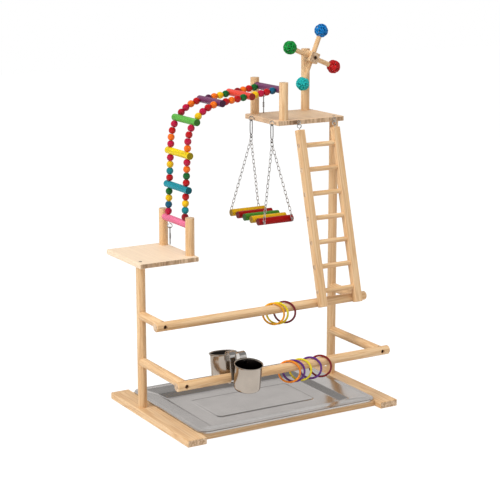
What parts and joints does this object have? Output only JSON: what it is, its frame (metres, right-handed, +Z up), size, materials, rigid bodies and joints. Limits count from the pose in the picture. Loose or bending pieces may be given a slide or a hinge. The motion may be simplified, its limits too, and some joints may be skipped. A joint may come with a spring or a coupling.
{
  "type": "parrot play stand",
  "caption": "Wooden tabletop play stand for parrots with perches, platforms, a bead bridge, swing, ladder, windmill, steel cups and a lift-out tray.",
  "frame": {"origin": "on the floor, under the middle of the whole stand's box", "axes": "+X to the right along the perches, +Y to the rear, +Z up"},
  "size_m": [0.5286, 0.3806, 0.7386],
  "materials": {
    "pine": "natural, sanded",
    "polished_steel": "polished",
    "plated_wire": "bright plated",
    "dark_screw": "blackened",
    "string": "galvanised",
    "red_bead": "dyed",
    "magenta_bead": "dyed",
    "orange_bead": "dyed",
    "yellow_bead": "dyed",
    "green_bead": "dyed",
    "blue_bead": "dyed",
    "pink_rung": "dyed",
    "teal_rung": "dyed",
    "yellow_rung": "dyed",
    "green_rung": "dyed",
    "purple_rung": "dyed",
    "coral_rung": "dyed",
    "red_dowel": "dyed",
    "yellow_dowel": "dyed",
    "green_dowel": "dyed",
    "orange_ring": "gloss",
    "purple_ring": "gloss",
    "yellow_ring": "gloss",
    "red_ring": "gloss",
    "blue_rattan": "dyed rattan",
    "red_rattan": "dyed rattan",
    "teal_rattan": "dyed rattan",
    "green_rattan": "dyed rattan"
  },
  "bodies": {
    "stand": {"left_foot": "pine", "right_foot": "pine", "crossbars": "pine", "upper_perch_arms": "pine", "upper_perch": "pine", "lower_perch_arms": "pine", "lower_perch": "pine", "left_post": "pine", "right_post": "pine", "lower_platform": "pine", "upper_platform": "pine", "bridge_posts": "pine", "windmill_post": "pine", "frame_screws": "dark_screw", "bridge_wires": "string", "bridge_rung_1": "pink_rung", "bridge_rung_2": "teal_rung", "bridge_rung_3": "yellow_rung", "bridge_rung_4": "green_rung", "bridge_rung_5": "purple_rung", "bridge_rung_6": "coral_rung", "bridge_rung_7": "purple_rung", "magenta_beads": "magenta_bead", "blue_beads": "blue_bead", "yellow_beads": "yellow_bead", "green_beads": "green_bead", "red_beads": "red_bead", "orange_beads": "orange_bead", "screw_eyes": "plated_wire"},
    "lower_clip": {"lower_clip": "plated_wire"},
    "upper_clip": {"upper_clip": "plated_wire"},
    "swing": {"swing_hooks": "plated_wire", "swing_tie_wires": "plated_wire", "swing_red_dowels": "red_dowel", "swing_yellow_dowels": "yellow_dowel", "swing_green_dowels": "green_dowel", "swing_chains": "plated_wire"},
    "ladder": {"ladder_rails": "pine", "ladder_rungs": "pine", "ladder_eyes": "plated_wire"},
    "windmill": {"windmill_blue_ball": "blue_rattan", "windmill_red_ball": "red_rattan", "windmill_teal_ball": "teal_rattan", "windmill_green_ball": "green_rattan", "windmill_hub": "pine", "windmill_spokes": "pine"},
    "tray": {"tray": "polished_steel"},
    "front_cup": {"front_cup": "polished_steel", "front_cup_strap": "polished_steel"},
    "rear_cup": {"rear_cup": "polished_steel", "rear_cup_strap": "polished_steel"},
    "upper_ring_1": {"upper_ring_1": "orange_ring"},
    "upper_ring_2": {"upper_ring_2": "yellow_ring"},
    "upper_ring_3": {"upper_ring_3": "red_ring"},
    "lower_ring_1": {"lower_ring_1": "orange_ring"},
    "lower_ring_2": {"lower_ring_2": "purple_ring"},
    "lower_ring_3": {"lower_ring_3": "yellow_ring"},
    "lower_ring_4": {"lower_ring_4": "purple_ring"},
    "lower_ring_5": {"lower_ring_5": "red_ring"}
  },
  "joints": [
    {"name": "swing_sway", "type": "hinge", "parent": "stand", "child": "swing", "pos_m": [0.04975, 0.1008, 0.55125], "axis": [0, 1, 0], "range_deg": [-22, 22]},
    {"name": "ladder_lift", "type": "hinge", "parent": "stand", "child": "ladder", "pos_m": [0.14325, 0.0413, 0.55125], "axis": [1, 0, 0], "range_deg": [-35, 0]},
    {"name": "windmill_spin", "type": "hinge", "parent": "stand", "child": "windmill", "pos_m": [0.19625, 0.1427, 0.6705], "axis": [0, 1, 0], "continuous": true},
    {"name": "tray_lift", "type": "slide", "parent": "stand", "child": "tray", "axis": [0, 0, 1], "range_m": [0, 0.03]},
    {"name": "front_cup_tilt", "type": "hinge", "parent": "stand", "child": "front_cup", "pos_m": [-0.13525, -0.1184, 0.1068], "axis": [1, 0, 0], "range_deg": [0, 30]},
    {"name": "rear_cup_tilt", "type": "hinge", "parent": "stand", "child": "rear_cup", "pos_m": [-0.14025, -0.1184, 0.1068], "axis": [1, 0, 0], "range_deg": [-30, 0]},
    {"name": "lower_clip_swing", "type": "hinge", "parent": "stand", "child": "lower_clip", "pos_m": [-0.13825, 0.1428, 0.3465], "axis": [0.866, -0.5, 0], "range_deg": [-20, 20]},
    {"name": "upper_clip_swing", "type": "hinge", "parent": "stand", "child": "upper_clip", "pos_m": [0.07575, 0.1358, 0.598], "axis": [0.866, -0.5, 0], "range_deg": [-20, 20]},
    {"name": "upper_ring_1_slide", "type": "slide", "parent": "stand", "child": "upper_ring_1", "axis": [1, 0, 0], "range_m": [-0.12, 0.00099]},
    {"name": "upper_ring_2_slide", "type": "slide", "parent": "stand", "child": "upper_ring_2", "axis": [1, 0, 0], "range_m": [-0.00099, 0.00519]},
    {"name": "upper_ring_3_slide", "type": "slide", "parent": "stand", "child": "upper_ring_3", "axis": [1, 0, 0], "range_m": [-0.00519, 0.04]},
    {"name": "lower_ring_1_slide", "type": "slide", "parent": "stand", "child": "lower_ring_1", "axis": [1, 0, 0], "range_m": [-0.05, 0.00159]},
    {"name": "lower_ring_2_slide", "type": "slide", "parent": "stand", "child": "lower_ring_2", "axis": [1, 0, 0], "range_m": [-0.00159, 0.00434]},
    {"name": "lower_ring_3_slide", "type": "slide", "parent": "stand", "child": "lower_ring_3", "axis": [1, 0, 0], "range_m": [-0.00434, 0.00809]},
    {"name": "lower_ring_4_slide", "type": "slide", "parent": "stand", "child": "lower_ring_4", "axis": [1, 0, 0], "range_m": [-0.00809, 0.00809]},
    {"name": "lower_ring_5_slide", "type": "slide", "parent": "stand", "child": "lower_ring_5", "axis": [1, 0, 0], "range_m": [-0.00809, 0.06]}
  ]
}
